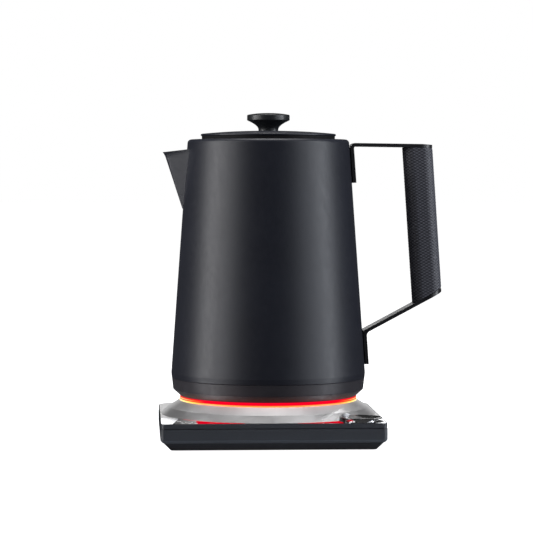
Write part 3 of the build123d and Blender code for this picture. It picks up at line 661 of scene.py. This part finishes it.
def floor():
    """Pale floor that glows like the backdrop and stays out of reflections."""
    mesh = bpy.data.meshes.new("floor")
    corners = [(x * FLOOR_FAR, y * FLOOR_FAR, 0) for x, y in ((-1, -1), (1, -1), (1, 1), (-1, 1))]
    mesh.from_pydata(corners, [], [(0, 1, 2, 3)])
    obj = bpy.data.objects.new("floor", mesh)
    bpy.context.scene.collection.objects.link(obj)
    mat = bpy.data.materials.new("floor")
    mat.use_nodes = True
    bsdf = mat.node_tree.nodes["Principled BSDF"]
    bsdf.inputs["Base Color"].default_value = (0.9, 0.9, 0.9, 1)
    bsdf.inputs["Roughness"].default_value = 0.9
    bsdf.inputs["Specular IOR Level"].default_value = 0.0
    bsdf.inputs["Emission Color"].default_value = (1, 1, 1, 1)
    bsdf.inputs["Emission Strength"].default_value = FLOOR_GLOW
    mesh.materials.append(mat)
    obj.visible_glossy = False
    obj.visible_diffuse = False


def world():
    """White backdrop to the camera, and only a faint light on the object."""
    scene_world = bpy.data.worlds.new("studio")
    scene_world.use_nodes = True
    tree = scene_world.node_tree
    background = tree.nodes["Background"]
    path = tree.nodes.new("ShaderNodeLightPath")
    level = tree.nodes.new("ShaderNodeMapRange")
    level.inputs["To Min"].default_value = BACKDROP_LIGHT
    level.inputs["To Max"].default_value = BACKDROP_SEEN
    tree.links.new(path.outputs["Is Camera Ray"], level.inputs["Value"])
    tree.links.new(level.outputs["Result"], background.inputs["Strength"])
    background.inputs["Color"].default_value = (1, 1, 1, 1)
    bpy.context.scene.world = scene_world


def softbox(name, place, target, width, height, power, color=(1, 1, 1)):
    """Rectangular light that faces its target; metres and watts."""
    light = bpy.data.lights.new(name, "AREA")
    light.shape = "RECTANGLE"
    light.size = width
    light.size_y = height
    light.energy = power
    light.color = color
    obj = bpy.data.objects.new(name, light)
    bpy.context.scene.collection.objects.link(obj)
    obj.location = place
    obj.rotation_euler = (Vector(target) - Vector(place)).to_track_quat("-Z", "Y").to_euler()
    return obj


def camera():
    """The one camera, solved so that the kettle and the base both fall near the photograph."""
    data = bpy.data.cameras.new("camera")
    data.sensor_width = SENSOR_MM
    data.lens = LENS_MM
    data.clip_end = 60.0
    obj = bpy.data.objects.new("camera", data)
    bpy.context.scene.collection.objects.link(obj)
    turn = (Matrix.Rotation(math.radians(YAW_DEG), 4, "Z")
            @ Matrix.Rotation(math.radians(90 + TILT_DEG), 4, "X")
            @ Matrix.Rotation(math.radians(ROLL_DEG), 4, "Z"))
    obj.matrix_world = Matrix.Translation(CAMERA_AT) @ turn
    bpy.context.scene.camera = obj


def group(name, pieces):
    """Collection of the named pieces, CAD nodes or made here."""
    members = bpy.data.collections.new(name)
    for piece in pieces:
        members.objects.link(nodes[piece] if piece in nodes else bpy.data.objects[piece])
    return members


def only_on(light, pieces, blockers=None):
    """Let a light fall on the named pieces only, and say which pieces may shade them."""
    light.light_linking.receiver_collection = group(light.name + "_lit", pieces)
    if blockers is not None:
        light.light_linking.blocker_collection = group(light.name + "_shade", blockers)


def not_on(light, pieces):
    """Keep a light off the named pieces."""
    skipped = group(light.name + "_skipped", pieces)
    for entry in skipped.collection_objects:
        entry.light_linking.link_state = "EXCLUDE"
    light.light_linking.receiver_collection = skipped


floor()
world()

# tall boxes at both sides of the kettle; they skip the dial's skirt
WARM, COOL = (1.0, 0.995, 1.0), (0.90, 0.94, 1.0)
KETTLE_MIDDLE = (0, 0, 0.12)
SIDE_HEIGHT = 1.5
SIDE_LIGHTS = [
    ("left_box", (-1.185, -0.188, 0.30), 0.36, 14, WARM),
    ("left_fill", (-1.01, -0.64, 0.30), 0.42, 5.2, WARM),
    ("right_box", (1.15, -0.33, 0.30), 0.36, 14, COOL),
    ("right_fill", (0.88, -0.82, 0.30), 0.42, 3.6, COOL),
]
for name, place, width, power, tint in SIDE_LIGHTS:
    not_on(softbox(name, place, KETTLE_MIDDLE, width, SIDE_HEIGHT, power, tint), ["dial_skirt"])
not_on(softbox("top_box", (0.0, 0.15, 1.3), (0, -0.02, 0.05), 0.7, 0.7, 9), ["deck_plate"])

# lights on named pieces only: place, target, width, height
WIDE_CARD = ((0.0, 1.9, 0.27), (0, 0, 0.06), 2.6, 0.42)
DIAL_CARD = ((0.62, 1.9, 0.13), (0.06, 0, 0.02), 0.72, 0.16)
PLINTH_BOX = ((0.12, 0.6, 1.12), (0, -0.05, 0.02), 1.2, 0.3)
TABLE_FRONT = ((0.0, -0.55, -0.40), (0, 0, 0.01), 0.8, 0.4)
BASE_FRONT = ((0.0, -1.1, 0.75), (0, 0, 0.02), 0.9, 0.5)

# three lights are shaded by the foot ring alone, so the kettle casts no shade from them
ALONE = ["foot_ring"]
SHELL = ["base_housing", "base_tub", "top_frame"]
only_on(softbox("trim_card", *WIDE_CARD, 12), ["front_trim", "panel_icons"])
only_on(softbox("strap_card", *WIDE_CARD, 7), ["upper_strap", "lower_strap"])
only_on(softbox("dial_card", *DIAL_CARD, 1.0), ["dial_dish", "dial_skirt"])
only_on(softbox("plinth_box", *PLINTH_BOX, 24), ["deck_plate"], ALONE)
only_on(softbox("deck_card", *WIDE_CARD, 3.0), ["deck_plate"], ALONE)
only_on(softbox("table_front", *TABLE_FRONT, 1.2), SHELL, ALONE)
only_on(softbox("base_front_box", *BASE_FRONT, 2.0), SHELL)
camera()
bpy.context.scene.view_settings.view_transform = "Standard"
